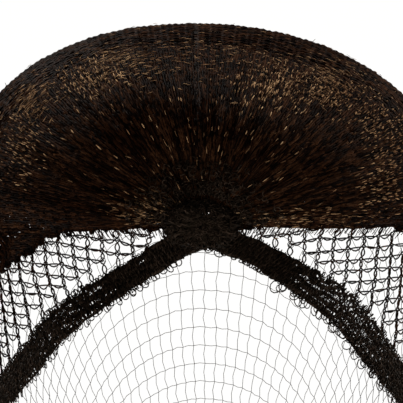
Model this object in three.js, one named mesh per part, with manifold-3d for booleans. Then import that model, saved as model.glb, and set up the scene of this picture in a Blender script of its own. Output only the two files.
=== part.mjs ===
// A knitted hairnet: a soft net crown with two full front lobes, an elastic band with a raised peak,
// and the puckered gather that draws them together at the peak.
// Millimetres, +Z up, front towards -Y. The origin is under the middle of the crown.

import * as THREE from 'three';
import { mergeGeometries, mergeVertices } from 'three/addons/utils/BufferGeometryUtils.js';
import Module from 'manifold-3d';

// Head opening that the band runs round, from the middle to the band's centre line
const openingHalfWidth = 84;
const openingFront = 94;
const openingBack = 84;

// Heights, counted from the lower edge of the band at its peak
const crownHeight = 80;
const napeDrop = 100;
const peakCentreHeight = 4.2;

// Fullest reach of the net, from the middle
const netHalfWidth = 97;
const netFront = 109;
const netBack = 107;
const netWall = 1.3;
const crownLean = 4.5;
const crownRoundness = 2.12;

// Height of the fullest line, at the front, the sides and the back
const fullHeightFront = 30;
const fullHeightSide = 6;
const fullHeightBack = -8;

// Lower edge of the two lobes, and the least height of net that lies flat above the band
const lobeEdgeHeight = 5;
const lobeEdgeRise = 8;
const leastFlatHeight = 4;

// Dent between the lobes, which leans to the left as it rises
const dentShare = 0.95;
const dentWidth = 13;
const dentWidening = 0.25;
const dentLean = 0.5;
const dentFullHeight = 24;
const dentTopHeight = 82;

// Pleats that fan out from the gather
const pleatDepth = 1.8;
const pleatCount = 34;
const pleatStart = 10;
const pleatFull = 30;
const pleatFade = 60;
const pleatEnd = 125;

// Band
const bandWidthPeak = 9;
const bandWidthSide = 13;
const bandThickness = 1.8;
const ruffleDepth = 0.4;
const ruffleCount = 90;
const bunchRise = 2.6;
const bunchTurn = 44;
const bunchSpread = 20;
const armLean = 1.8;
const armLeanEnd = 42;
const clearance = 0.3;

// Gather
const gatherHalfWidth = 14;
const gatherHalfHeight = 9;
const gatherDepth = 6;
const gatherX = -1;
const gatherHeight = 8;
const gatherFolds = 11;
const gatherFoldShare = 0.04;
const gatherFoldDepth = 0.18;
const gatherSeatReach = 4;

// Open net in the two windows beside the peak
const cellWidth = 6.3;
const cellHeight = 5.1;
const ribWidth = 1.5;
const cellCorner = 1;
const windowEdge = 1.2;
const windowStart = 12;
const windowEndTurn = 72;

const degree = Math.PI / 180;

// The band's route: how far it has dropped, as a share of the nape's drop, at each turn round the head
const bandRoute = [
  { turn: 0, drop: 0 },
  { turn: 4, drop: 0.016 },
  { turn: 12.8, drop: 0.082 },
  { turn: 20, drop: 0.145 },
  { turn: 26.5, drop: 0.201 },
  { turn: 34.3, drop: 0.272 },
  { turn: 41, drop: 0.348 },
  { turn: 50, drop: 0.474 },
  { turn: 55, drop: 0.53 },
  { turn: 66, drop: 0.635 },
  { turn: 90, drop: 0.79 },
  { turn: 120, drop: 0.89 },
  { turn: 150, drop: 0.965 },
  { turn: 180, drop: 1 },
];

// How far the band has grown from its width at the peak to its width at the sides
const bandGrowth = [
  { turn: 0, share: 0 },
  { turn: 13, share: 0.05 },
  { turn: 27, share: 0.4 },
  { turn: 40, share: 0.85 },
  { turn: 52, share: 1 },
  { turn: 180, share: 1 },
];

// The lobes' lower edge: raised at the gather, level along the brow, and down to the band at the temples
const lobeEdge = [
  { turn: 0, share: 1 },
  { turn: 6, share: 0.8 },
  { turn: 12, share: 0.4 },
  { turn: 20, share: 0.06 },
  { turn: 50, share: 0 },
  { turn: 60, share: -0.5 },
  { turn: 66, share: -1.6 },
  { turn: 75, share: -5 },
  { turn: 90, share: -14 },
  { turn: 180, share: -20 },
];

// How sharply the net leaves the flat part: 1 swells straight outward, 2 leaves at a slant
const swellShape = [
  { turn: 0, power: 1 },
  { turn: 55, power: 1 },
  { turn: 85, power: 1.8 },
  { turn: 180, power: 1.9 },
];

// Height of the fullest line, from front to side to back
const fullLine = [
  { turn: 0, height: fullHeightFront },
  { turn: 45, height: fullHeightFront * 0.8 + fullHeightSide * 0.2 },
  { turn: 90, height: fullHeightSide },
  { turn: 180, height: fullHeightBack },
];

// How finely the shell and the band are divided round the head, on each side
const turnSteps = [
  { upTo: 30, steps: 15 },
  { upTo: 74, steps: 12 },
  { upTo: 180, steps: 10 },
];
const flatRows = 2;
const swellRows = 6;
const domeRows = 8;
const rimSamples = 240;

// A smooth curve through a table's rows that keeps between them
function curveThrough(rows, column) {
  const slopes = rows.map((row, i) => {
    if (i === 0 || i === rows.length - 1) return 0;
    const before = (row[column] - rows[i - 1][column]) / (row.turn - rows[i - 1].turn);
    const after = (rows[i + 1][column] - row[column]) / (rows[i + 1].turn - row.turn);
    return before * after > 0 ? (2 * before * after) / (before + after) : 0;
  });
  return (turn) => {
    const at = Math.min(Math.abs(turn) / degree, rows.at(-1).turn);
    const i = Math.max(rows.findIndex((row) => row.turn >= at), 1);
    const span = rows[i].turn - rows[i - 1].turn;
    const t = (at - rows[i - 1].turn) / span;
    const rise = rows[i][column] - rows[i - 1][column];
    const start = slopes[i - 1] * span;
    const end = slopes[i] * span;
    const bend = (start + end - 2 * rise) * t + 3 * rise - 2 * start - end;
    return rows[i - 1][column] + t * (start + t * bend);
  };
}

const bandDrop = curveThrough(bandRoute, 'drop');
const bandGrown = curveThrough(bandGrowth, 'share');
const lobeShare = curveThrough(lobeEdge, 'share');
const swellPower = curveThrough(swellShape, 'power');
const fullHeight = curveThrough(fullLine, 'height');

function smoothStep(from, to, value) {
  const t = THREE.MathUtils.clamp((value - from) / (to - from), 0, 1);
  return t * t * (3 - 2 * t);
}

// Place in plan at a turn from the front, on an oval with its own front and back reach
function onOval(turn, half, front, back) {
  const ahead = Math.cos(turn);
  return new THREE.Vector2(half * Math.sin(turn), -ahead * (ahead > 0 ? front : back));
}

function openingAt(turn) {
  return onOval(turn, openingHalfWidth, openingFront, openingBack);
}

// The arms lean a little to the right beside the peak
function bandHeight(turn) {
  const beside = Math.min(Math.abs(turn) / degree, armLeanEnd) / armLeanEnd;
  const lean = armLean * degree * Math.sin(Math.PI * beside) * Math.sign(turn);
  return peakCentreHeight - napeDrop * bandDrop(Math.abs(turn) - lean);
}

function bandWidth(turn) {
  return bandWidthPeak + (bandWidthSide - bandWidthPeak) * bandGrown(turn);
}

// How far the band's upper edge lies from its centre; it bunches up higher on the right arm
function bandTop(turn) {
  const off = (turn / degree - bunchTurn) / bunchSpread;
  return bandWidth(turn) / 2 + bunchRise * Math.exp(-off * off);
}

// The band's centre, the way it runs, the way it faces and the way up across it
function bandFrame(turn) {
  const step = 0.2 * degree;
  const place = (at) => {
    const plan = openingAt(at);
    return new THREE.Vector3(plan.x, plan.y, bandHeight(at));
  };
  const along = place(turn + step).sub(place(turn - step)).normalize();
  const facing = new THREE.Vector3(along.y, -along.x, 0).normalize();
  const up = new THREE.Vector3().crossVectors(facing, along).normalize();
  return { centre: place(turn), along, facing, up };
}

// Places just above the band's upper edge, by their own turn round the opening
function placesAboveBand() {
  const places = [];
  for (let i = -rimSamples; i <= rimSamples; i++) {
    const turn = (i / rimSamples) * Math.PI;
    const { centre, up } = bandFrame(turn);
    const place = centre.addScaledVector(up, bandTop(turn) + clearance);
    const reach = place.y < 0 ? openingFront : openingBack;
    places.push({ turn: Math.atan2(place.x / openingHalfWidth, -place.y / reach), height: place.z });
  }
  places[0].turn = -Math.PI;
  places.at(-1).turn = Math.PI;
  return places;
}

const aboveBand = placesAboveBand();

// Height of the net's lower edge, just above the band
function rimHeight(turn) {
  const i = THREE.MathUtils.clamp(aboveBand.findIndex((place) => place.turn >= turn), 1, 2 * rimSamples);
  const [before, after] = [aboveBand[i - 1], aboveBand[i]];
  const share = (turn - before.turn) / (after.turn - before.turn);
  return THREE.MathUtils.lerp(before.height, after.height, share);
}

function lobeHeight(turn) {
  const edge = lobeEdgeHeight + lobeEdgeRise * lobeShare(turn);
  return Math.max(edge, rimHeight(turn) + leastFlatHeight);
}

// The dent between the lobes, from 0 to 1
function dentAt(x, z) {
  const middle = gatherX - dentLean * (z - gatherHeight);
  const width = dentWidth + dentWidening * z;
  const fade = 1 - smoothStep(dentFullHeight, dentTopHeight, z);
  return fade * Math.exp(-(((x - middle) / width) ** 2));
}

// How far a pleat sinks in, seen from the front
function pleatAt(x, z) {
  const distance = Math.hypot(x - gatherX, z - gatherHeight);
  const angle = Math.atan2(x - gatherX, z - gatherHeight);
  const faded = smoothStep(pleatFade, pleatEnd, distance);
  const strength = smoothStep(pleatStart, pleatFull, distance) * (1 - faded);
  return pleatDepth * strength * 0.5 * (1 - Math.cos(pleatCount * angle));
}

// A point of the net's outer face. Stage 0 to 1 is flat on the brow, 1 to 2 swells out, 2 to 3 is the dome.
function netPoint(turn, stage) {
  const wall = netWall / 2;
  const near = onOval(turn, openingHalfWidth + wall, openingFront + wall, openingBack + wall);
  const far = onOval(turn, netHalfWidth, netFront, netBack);
  const low = lobeHeight(turn);
  const full = fullHeight(turn);
  if (stage <= 1) {
    return new THREE.Vector3(near.x, near.y, THREE.MathUtils.lerp(rimHeight(turn), low, stage));
  }
  const onDome = stage > 2;
  const angle = ((stage - (onDome ? 2 : 1)) * Math.PI) / 2;
  const out = onDome ? 1 : Math.sin(angle) ** swellPower(turn);
  const plan = near.lerp(far, out);
  let z = low + (full - low) * (1 - Math.cos(angle));
  if (onDome) {
    const climb = Math.sin(angle) ** (2 / crownRoundness);
    plan.multiplyScalar(Math.max(Math.cos(angle), 0) ** (2 / crownRoundness));
    plan.x -= crownLean * climb * climb;
    z = full + (crownHeight - full) * climb;
  }
  if (Math.cos(turn) > 0) {
    const sunk = dentShare * (netFront - openingFront) * dentAt(plan.x, z) * out;
    const ahead = smoothStep(0, openingFront / 2, -plan.y);
    plan.y += (sunk + pleatAt(plan.x, z) * out) * ahead;
  }
  return new THREE.Vector3(plan.x, plan.y, z);
}

// Turns round the whole head, close together at the front
function turnsRound() {
  const side = [0];
  for (const { upTo, steps } of turnSteps) {
    const from = side.at(-1);
    for (let i = 1; i <= steps; i++) side.push(from + ((upTo * degree - from) * i) / steps);
  }
  const left = side.slice(1, -1).reverse().map((turn) => -turn);
  return [...left, ...side];
}

function stagesUp() {
  const stages = [];
  for (let i = 0; i < flatRows; i++) stages.push(i / flatRows);
  for (let i = 0; i < swellRows; i++) stages.push(1 + i / swellRows);
  for (let i = 0; i < domeRows; i++) stages.push(2 + i / domeRows);
  return stages;
}

function geometryFrom(points, triangles) {
  const geometry = new THREE.BufferGeometry();
  const places = points.flatMap((p) => p.toArray());
  geometry.setAttribute('position', new THREE.Float32BufferAttribute(places, 3));
  geometry.setIndex(triangles);
  return geometry;
}

// Two triangles over the quad from a to b, along to d and c
function quad(a, b, c, d) {
  return [a, b, c, a, c, d];
}

// The outer face as a grid that closes in one point at the crown
function netFace() {
  const turns = turnsRound();
  const stages = stagesUp();
  const count = turns.length;
  const points = stages.flatMap((stage) => turns.map((turn) => netPoint(turn, stage)));
  points.push(new THREE.Vector3(-crownLean, 0, crownHeight));
  const triangles = [];
  for (let row = 0; row < stages.length; row++) {
    for (let i = 0; i < count; i++) {
      const next = (i + 1) % count;
      const here = row * count;
      if (row === stages.length - 1) triangles.push(here + i, here + next, points.length - 1);
      else triangles.push(...quad(here + i, here + next, here + count + next, here + count + i));
    }
  }
  return { points, triangles, count };
}

// The face given a wall, with a strip along its lower edge
function netShell() {
  const { points, triangles, count } = netFace();
  const face = geometryFrom(points, triangles);
  face.computeVertexNormals();
  const normals = face.getAttribute('normal');
  const inner = points.map((p, i) => {
    const normal = new THREE.Vector3().fromBufferAttribute(normals, i);
    return p.clone().addScaledVector(normal, -netWall);
  });
  const total = points.length;
  const all = [...triangles];
  for (let i = 0; i < triangles.length; i += 3) {
    all.push(triangles[i] + total, triangles[i + 2] + total, triangles[i + 1] + total);
  }
  for (let i = 0; i < count; i++) {
    const next = (i + 1) % count;
    all.push(...quad(i, total + i, total + next, next));
  }
  return geometryFrom([...points, ...inner], all);
}

function cellShape() {
  const halfWidth = (cellWidth - ribWidth) / 2;
  const halfHeight = (cellHeight - ribWidth) / 2;
  const corner = Math.min(cellCorner, halfWidth / 2, halfHeight / 2);
  const corners = [
    [halfWidth, halfHeight - corner],
    [halfWidth - corner, halfHeight],
    [corner - halfWidth, halfHeight],
    [-halfWidth, halfHeight - corner],
    [-halfWidth, corner - halfHeight],
    [corner - halfWidth, -halfHeight],
    [halfWidth - corner, -halfHeight],
    [halfWidth, corner - halfHeight],
  ];
  return new THREE.Shape(corners.map(([x, y]) => new THREE.Vector2(x, y)));
}

// Turns that are one cell apart along the opening, on the side given by sign
function columnTurns(sign) {
  const step = 0.1 * degree;
  const turns = [];
  let next = windowStart;
  let run = 0;
  for (let turn = step; turn < windowEndTurn * degree; turn += step) {
    run += openingAt(turn).distanceTo(openingAt(turn - step));
    if (run >= next) {
      turns.push(sign * turn);
      next += cellWidth;
    }
  }
  return turns;
}

// The body that one gap of the open net leaves
function gapAt(turn, height) {
  const { facing } = bandFrame(turn);
  const depth = 6 * netWall;
  const gap = new THREE.ExtrudeGeometry(cellShape(), { depth, bevelEnabled: false });
  gap.translate(0, 0, -depth / 2);
  const up = new THREE.Vector3(0, 0, 1);
  const across = new THREE.Vector3().crossVectors(up, facing);
  const plan = openingAt(turn);
  const place = new THREE.Matrix4().makeBasis(across, up, facing).setPosition(plan.x, plan.y, height);
  return gap.applyMatrix4(place);
}

// All gaps of both windows, in level rows that the band cuts off at a slant
function windowGaps() {
  const gaps = [];
  const half = cellHeight / 2 + windowEdge;
  const nearTurn = cellWidth / 2 / openingFront;
  for (const sign of [-1, 1]) {
    for (const turn of columnTurns(sign)) {
      const floor = Math.max(rimHeight(turn - nearTurn), rimHeight(turn + nearTurn));
      const ceiling = Math.min(lobeHeight(turn - nearTurn), lobeHeight(turn + nearTurn));
      for (let row = 0; lobeEdgeHeight - half - row * cellHeight > floor + half; row++) {
        const height = lobeEdgeHeight - half - row * cellHeight;
        if (height < ceiling - half + windowEdge) gaps.push(gapAt(turn, height));
      }
    }
  }
  return gaps;
}

const wasm = await Module();
wasm.setup();

function toSolid(geometry) {
  const bare = geometry.clone();
  bare.deleteAttribute('normal');
  bare.deleteAttribute('uv');
  const merged = mergeVertices(bare, 1e-4);
  const mesh = new wasm.Mesh({
    numProp: 3,
    vertProperties: new Float32Array(merged.getAttribute('position').array),
    triVerts: new Uint32Array(merged.getIndex().array),
  });
  mesh.merge();
  return new wasm.Manifold(mesh);
}

function fromSolid(solid) {
  const { vertProperties, triVerts, numProp } = solid.getMesh();
  const geometry = new THREE.BufferGeometry();
  const points = [];
  for (let i = 0; i < vertProperties.length; i += numProp) points.push(...vertProperties.slice(i, i + 3));
  geometry.setAttribute('position', new THREE.Float32BufferAttribute(points, 3));
  geometry.setIndex([...triVerts]);
  return geometry;
}

function netCrown() {
  const gaps = mergeGeometries(windowGaps());
  return fromSolid(toSolid(netShell()).subtract(toSolid(gaps)));
}

// A ring swept from a closed section; rings is a list of lists of points
function sweptRing(rings) {
  const sides = rings[0].length;
  const points = rings.flat();
  const triangles = [];
  rings.forEach((ring, i) => {
    const next = (i + 1) % rings.length;
    for (let k = 0; k < sides; k++) {
      const up = (k + 1) % sides;
      triangles.push(...quad(i * sides + k, next * sides + k, next * sides + up, i * sides + up));
    }
  });
  return geometryFrom(points, triangles);
}

// The band's section, as shares of its width and thickness, from its outer lower corner upward
const bandSection = [
  { across: -0.42, out: 0.5 },
  { across: 0.42, out: 0.5 },
  { across: 0.5, out: 0.3 },
  { across: 0.5, out: -0.3 },
  { across: 0.42, out: -0.5 },
  { across: -0.42, out: -0.5 },
  { across: -0.5, out: -0.3 },
  { across: -0.5, out: 0.3 },
];

function elasticBand() {
  const rings = turnsRound().map((turn) => {
    const { centre, facing, up } = bandFrame(turn);
    const pulled = (ruffleDepth * (1 - Math.cos(ruffleCount * turn))) / 2;
    return bandSection.map(({ across, out }) => {
      const reach = across > 0 ? bandTop(turn) : bandWidth(turn) / 2;
      const width = 2 * across * (reach - pulled);
      return centre.clone().addScaledVector(up, width).addScaledVector(facing, bandThickness * out);
    });
  });
  return sweptRing(rings);
}

// Rings of the gather: how far out each lies, as a share of the half width, and how thick it is there
const gatherRings = [
  { spread: 0, thick: 0 },
  { spread: 0.5, thick: 0 },
  { spread: 1, thick: 0 },
  { spread: 0.95, thick: 0.35 },
  { spread: 0.8, thick: 0.7 },
  { spread: 0.5, thick: 0.92 },
  { spread: 0, thick: 1 },
];

// Where the gather rests: just ahead of the net and band that lie behind a place seen from the front
function gatherSeat(x, z, facePoints) {
  const bandFront = bandFrame(0).centre.y - bandThickness / 2;
  const near = facePoints.filter((p) => p.y < 0 && Math.hypot(p.x - x, p.z - z) < gatherSeatReach);
  return Math.min(bandFront, ...near.map((p) => p.y)) - clearance;
}

// The gather is a low mound with folds that run out from its middle
function frontGather() {
  const facePoints = netFace().points;
  const around = gatherFolds * 4;
  const points = [];
  for (const { spread, thick } of gatherRings) {
    for (let i = 0; i < (spread > 0 ? around : 1); i++) {
      const angle = (i / around) * 2 * Math.PI;
      const fold = 1 + Math.cos(gatherFolds * angle);
      const reach = spread * (1 - gatherFoldShare * fold);
      const depth = gatherDepth * thick * (1 - gatherFoldDepth * fold * spread);
      const x = gatherX + gatherHalfWidth * reach * Math.sin(angle);
      const z = gatherHeight + gatherHalfHeight * reach * Math.cos(angle);
      points.push(new THREE.Vector3(x, gatherSeat(x, z, facePoints) - depth, z));
    }
  }
  const triangles = [];
  const front = points.length - 1;
  for (let i = 0; i < around; i++) {
    const next = (i + 1) % around;
    for (let row = 1; row + around < front; row += around) {
      triangles.push(...quad(row + i, row + around + i, row + around + next, row + next));
    }
    triangles.push(front - around + i, front, front - around + next);
    triangles.push(1 + i, 1 + next, 0);
  }
  return geometryFrom(points, triangles);
}

function piece(name, geometry, color, roughness) {
  const mesh = new THREE.Mesh(geometry, new THREE.MeshStandardMaterial({ color, roughness, metalness: 0 }));
  mesh.name = name;
  mesh.position.set(crownLean, 0, netWall - crownHeight);
  return mesh;
}

const hairnet = new THREE.Group();
hairnet.add(piece('net_crown', netCrown(), 0x1d1714, 0.6));
hairnet.add(piece('elastic_band', elasticBand(), 0x141110, 0.8));
hairnet.add(piece('front_gather', frontGather(), 0x100d0c, 0.85));

export default hairnet;
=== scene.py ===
"""A knitted hairnet with its threads, knots, curly elastic band and puckered front gather."""

import math

import bpy
import numpy as np
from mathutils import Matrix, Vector
from mathutils.bvhtree import BVHTree


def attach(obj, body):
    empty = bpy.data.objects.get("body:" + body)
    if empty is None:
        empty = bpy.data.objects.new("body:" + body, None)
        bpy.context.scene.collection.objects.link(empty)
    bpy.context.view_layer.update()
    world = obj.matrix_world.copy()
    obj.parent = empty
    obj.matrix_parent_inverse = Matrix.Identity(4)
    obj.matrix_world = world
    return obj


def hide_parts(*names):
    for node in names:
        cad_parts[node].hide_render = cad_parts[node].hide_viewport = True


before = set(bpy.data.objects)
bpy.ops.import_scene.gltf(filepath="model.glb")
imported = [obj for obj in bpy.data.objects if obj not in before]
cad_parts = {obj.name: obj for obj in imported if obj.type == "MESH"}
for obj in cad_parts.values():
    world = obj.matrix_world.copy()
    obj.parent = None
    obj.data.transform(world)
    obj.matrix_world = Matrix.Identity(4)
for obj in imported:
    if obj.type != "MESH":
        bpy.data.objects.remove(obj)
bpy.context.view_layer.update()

bl_info = {
    "name": "Hairnet",
    "version": (1, 0, 0),
    "blender": (4, 5, 0),
    "location": "3D View > Sidebar > Hairnet",
    "description": "Makes the threads of a knitted hairnet round its packed model",
    "category": "Object",
}

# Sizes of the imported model, in millimetres, as its source has them
OPENING_HALF_WIDTH = 84
OPENING_FRONT = 94
OPENING_BACK = 84
CROWN_HEIGHT = 80
NAPE_DROP = 100
PEAK_CENTRE_HEIGHT = 4.2
NET_HALF_WIDTH = 97
NET_FRONT = 109
NET_BACK = 107
NET_WALL = 1.3
CROWN_LEAN = 4.5
CROWN_ROUNDNESS = 2.12
FULL_HEIGHT_FRONT = 30
FULL_HEIGHT_SIDE = 6
FULL_HEIGHT_BACK = -8
LOBE_EDGE_HEIGHT = 5
LOBE_EDGE_RISE = 8
LEAST_FLAT_HEIGHT = 4
DENT_SHARE = 0.95
DENT_WIDTH = 13
DENT_WIDENING = 0.25
DENT_LEAN = 0.5
DENT_FULL_HEIGHT = 24
DENT_TOP_HEIGHT = 82
BAND_WIDTH_PEAK = 9
BAND_WIDTH_SIDE = 13
BAND_THICKNESS = 1.8
BUNCH_RISE = 2.6
BUNCH_TURN = 44
BUNCH_SPREAD = 20
ARM_LEAN = 1.8
ARM_LEAN_END = 42
CLEARANCE = 0.3
GATHER_HALF_WIDTH = 14
GATHER_HALF_HEIGHT = 9
GATHER_DEPTH = 6
GATHER_X = -1
GATHER_HEIGHT = 8
PLEAT_DEPTH = 1.8
PLEAT_COUNT = 34
PLEAT_START = 10
PLEAT_FULL = 30
PLEAT_FADE = 60
PLEAT_END = 125

# How far the band has dropped, as a share of the nape's drop, at each turn in degrees from the front
BAND_ROUTE = (
    (0, 0), (4, 0.016), (12.8, 0.082), (20, 0.145), (26.5, 0.201), (34.3, 0.272), (41, 0.348),
    (50, 0.474), (55, 0.53), (66, 0.635), (90, 0.79), (120, 0.89), (150, 0.965), (180, 1),
)
# Growth of the band's width, rise of the lobes' edge and swell of the net, by turn
BAND_GROWTH = ((0, 0), (13, 0.05), (27, 0.4), (40, 0.85), (52, 1), (180, 1))
LOBE_EDGE = (
    (0, 1), (6, 0.8), (12, 0.4), (20, 0.06), (50, 0), (60, -0.5), (66, -1.6), (75, -5), (90, -14),
    (180, -20),
)
SWELL_SHAPE = ((0, 1), (55, 1), (85, 1.8), (180, 1.9))
FULL_LINE = (
    (0, FULL_HEIGHT_FRONT),
    (45, FULL_HEIGHT_FRONT * 0.8 + FULL_HEIGHT_SIDE * 0.2),
    (90, FULL_HEIGHT_SIDE),
    (180, FULL_HEIGHT_BACK),
)

# The mould that the threads are laid on
MOULD_TURNS = 720
MOULD_ROWS = 240
RIM_SAMPLES = 720
TOP_STAGE = 3.0

METRES = 0.001
TO_ROW = np.array((CROWN_LEAN, 0.0, NET_WALL - CROWN_HEIGHT))


def curve_through(rows):
    """A smooth curve through (turn, value) rows that keeps between them, as a function of radians."""
    at = np.array([row[0] for row in rows], float)
    value = np.array([row[1] for row in rows], float)
    secant = np.diff(value) / np.diff(at)
    slope = np.zeros(len(rows))
    for i in range(1, len(rows) - 1):
        before, after = secant[i - 1], secant[i]
        if before * after > 0:
            slope[i] = 2 * before * after / (before + after)

    def curve(turn):
        place = np.clip(np.abs(np.degrees(turn)), 0, at[-1])
        i = np.clip(np.searchsorted(at, place, side="left"), 1, len(at) - 1)
        span = at[i] - at[i - 1]
        t = (place - at[i - 1]) / span
        rise = value[i] - value[i - 1]
        start = slope[i - 1] * span
        end = slope[i] * span
        bend = (start + end - 2 * rise) * t + 3 * rise - 2 * start - end
        return value[i - 1] + t * (start + t * bend)

    return curve


band_drop = curve_through(BAND_ROUTE)
band_grown = curve_through(BAND_GROWTH)
lobe_share = curve_through(LOBE_EDGE)
swell_power = curve_through(SWELL_SHAPE)
full_height = curve_through(FULL_LINE)


def smooth_step(start, end, value):
    """0 before start, 1 after end, and smooth between."""
    t = np.clip((value - start) / (end - start), 0, 1)
    return t * t * (3 - 2 * t)


def unit(vectors):
    """Vectors of length one."""
    return vectors / np.maximum(np.linalg.norm(vectors, axis=-1, keepdims=True), 1e-9)


def on_oval(turn, half, front, back):
    """Plan place at a turn from the front, on an oval with its own front and back reach."""
    ahead = np.cos(turn)
    return half * np.sin(turn), -ahead * np.where(ahead > 0, front, back)


def band_height(turn):
    """Height of the band's centre line."""
    beside = np.minimum(np.abs(np.degrees(turn)), ARM_LEAN_END) / ARM_LEAN_END
    lean = math.radians(ARM_LEAN) * np.sin(math.pi * beside) * np.sign(turn)
    return PEAK_CENTRE_HEIGHT - NAPE_DROP * band_drop(np.abs(turn) - lean)


def band_width(turn):
    """Width of the band."""
    return BAND_WIDTH_PEAK + (BAND_WIDTH_SIDE - BAND_WIDTH_PEAK) * band_grown(turn)


def band_top(turn):
    """How far the band's upper edge lies from its centre line."""
    off = (np.degrees(turn) - BUNCH_TURN) / BUNCH_SPREAD
    return band_width(turn) / 2 + BUNCH_RISE * np.exp(-off * off)


def band_place(turn):
    """Centre line of the band."""
    x, y = on_oval(turn, OPENING_HALF_WIDTH, OPENING_FRONT, OPENING_BACK)
    return np.stack((x, y, band_height(turn)), axis=-1)


def band_frame(turn):
    """The band's centre, the way it runs, the way it faces and the way up across it."""
    step = math.radians(0.2)
    along = unit(band_place(turn + step) - band_place(turn - step))
    facing = unit(np.stack((along[..., 1], -along[..., 0], np.zeros_like(turn)), axis=-1))
    return band_place(turn), along, facing, unit(np.cross(facing, along))


def rim_curve():
    """Height of the net's lower edge, just above the band, as a function of the turn."""
    turn = np.linspace(-math.pi, math.pi, 2 * RIM_SAMPLES + 1)
    centre, _, _, up = band_frame(turn)
    place = centre + up * (band_top(turn) + CLEARANCE)[:, None]
    reach = np.where(place[:, 1] < 0, OPENING_FRONT, OPENING_BACK)
    own = np.arctan2(place[:, 0] / OPENING_HALF_WIDTH, -place[:, 1] / reach)
    own[0] = -math.pi
    own[-1] = math.pi
    return lambda at: np.interp(at, own, place[:, 2])


rim_height = rim_curve()


def lobe_height(turn):
    """Height at which the net leaves the flat part on the brow."""
    edge = LOBE_EDGE_HEIGHT + LOBE_EDGE_RISE * lobe_share(turn)
    return np.maximum(edge, rim_height(turn) + LEAST_FLAT_HEIGHT)


def dent_at(x, z):
    """The dent between the lobes, from 0 to 1."""
    middle = GATHER_X - DENT_LEAN * (z - GATHER_HEIGHT)
    width = DENT_WIDTH + DENT_WIDENING * z
    return (1 - smooth_step(DENT_FULL_HEIGHT, DENT_TOP_HEIGHT, z)) * np.exp(-(((x - middle) / width) ** 2))


def pleat_at(x, z):
    """How far a pleat sinks in, seen from the front."""
    distance = np.hypot(x - GATHER_X, z - GATHER_HEIGHT)
    angle = np.arctan2(x - GATHER_X, z - GATHER_HEIGHT)
    strength = smooth_step(PLEAT_START, PLEAT_FULL, distance)
    strength = strength * (1 - smooth_step(PLEAT_FADE, PLEAT_END, distance))
    return PLEAT_DEPTH * strength * 0.5 * (1 - np.cos(PLEAT_COUNT * angle))


def net_point(turn, stage):
    """The net's outer face: stage 0 to 1 flat on the brow, 1 to 2 swelling out, 2 to 3 the dome."""
    turn, stage = np.broadcast_arrays(np.asarray(turn, float), np.asarray(stage, float))
    wall = NET_WALL / 2
    near = on_oval(turn, OPENING_HALF_WIDTH + wall, OPENING_FRONT + wall, OPENING_BACK + wall)
    far = on_oval(turn, NET_HALF_WIDTH, NET_FRONT, NET_BACK)
    low = lobe_height(turn)
    full = full_height(turn)
    rim = rim_height(turn)
    swell = np.clip(stage - 1, 0, 1) * math.pi / 2
    dome = np.clip(stage - 2, 0, 1) * math.pi / 2
    out = np.sin(swell) ** swell_power(turn)
    climb = np.sin(dome) ** (2 / CROWN_ROUNDNESS)
    inward = np.maximum(np.cos(dome), 0) ** (2 / CROWN_ROUNDNESS)
    x = (near[0] + (far[0] - near[0]) * out) * inward - CROWN_LEAN * climb * climb
    y = (near[1] + (far[1] - near[1]) * out) * inward
    z = rim + (low - rim) * np.clip(stage, 0, 1) + (full - low) * (1 - np.cos(swell))
    z = np.where(stage > 2, full + (CROWN_HEIGHT - full) * climb, z)
    sunk = DENT_SHARE * (NET_FRONT - OPENING_FRONT) * dent_at(x, z) * out
    ahead = smooth_step(0, OPENING_FRONT / 2, -y)
    sunk = sunk + pleat_at(x, z) * out
    y = y + np.where(np.cos(turn) > 0, sunk * ahead, 0)
    return np.stack((x, y, z), axis=-1)


class Mould:
    """The net's outer face as a fine grid, looked up by turn and by the share of the way to the crown."""

    def __init__(self):
        self.turns = np.linspace(-math.pi, math.pi, MOULD_TURNS + 1)
        stages = np.linspace(0, TOP_STAGE, MOULD_ROWS + 1)
        self.points = net_point(self.turns[:, None], stages[None, :])
        steps = np.linalg.norm(np.diff(self.points, axis=1), axis=-1)
        run = np.concatenate((np.zeros((len(self.turns), 1)), np.cumsum(steps, axis=1)), axis=1)
        self.length = run[:, -1]
        along = np.gradient(self.points, axis=0)
        upward = np.gradient(self.points, axis=1)
        self.normals = unit(np.cross(along, upward))
        self.normals[:, -1] = (0, 0, 1)
        self.share = run / self.length[:, None]
        self.bvh = self.make_bvh()

    def make_bvh(self):
        """A tree for casting rays at the face."""
        count = self.points.shape[1]
        corners = self.points.reshape(-1, 3).tolist()
        faces = []
        for i in range(len(self.turns) - 1):
            for j in range(count - 1):
                here = i * count + j
                faces.append((here, here + count, here + count + 1, here + 1))
        return BVHTree.FromPolygons(corners, faces)

    def look_up(self, turn, value, table):
        """Place and normal where the table, which rises along each turn of the grid, has the value."""
        place = (np.asarray(turn) + math.pi) / (2 * math.pi) * (len(self.turns) - 1)
        i = np.clip(np.floor(place).astype(int), 0, len(self.turns) - 2)
        part = (place - i)[..., None]
        both = np.concatenate((self.points, self.normals), axis=-1)
        spots = []
        for side in (i, i + 1):
            row = np.empty(value.shape + (6,))
            for one in np.unique(side):
                mine = side == one
                for axis in range(6):
                    row[mine, axis] = np.interp(value[mine], table[one], both[one, :, axis])
            spots.append(row)
        mixed = spots[0] * (1 - part) + spots[1] * part
        return mixed[..., :3], unit(mixed[..., 3:])

    def at_height(self, turn, height):
        """Place and normal at a turn and a height."""
        return self.look_up(turn, height, self.points[..., 2])

    def at_share(self, turn, share):
        """Place and normal at a turn and a share of the way from the rim to the crown."""
        return self.look_up(turn, share, self.share)


DASH_RINGS = 2
# Glow up to YARN_GLOW is the yarn's own dark-to-brown tone; above it the yarn material paints a highlight in
# the glint colour
YARN_GLOW = 0.6
glow_source = np.random.default_rng(5)


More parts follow.
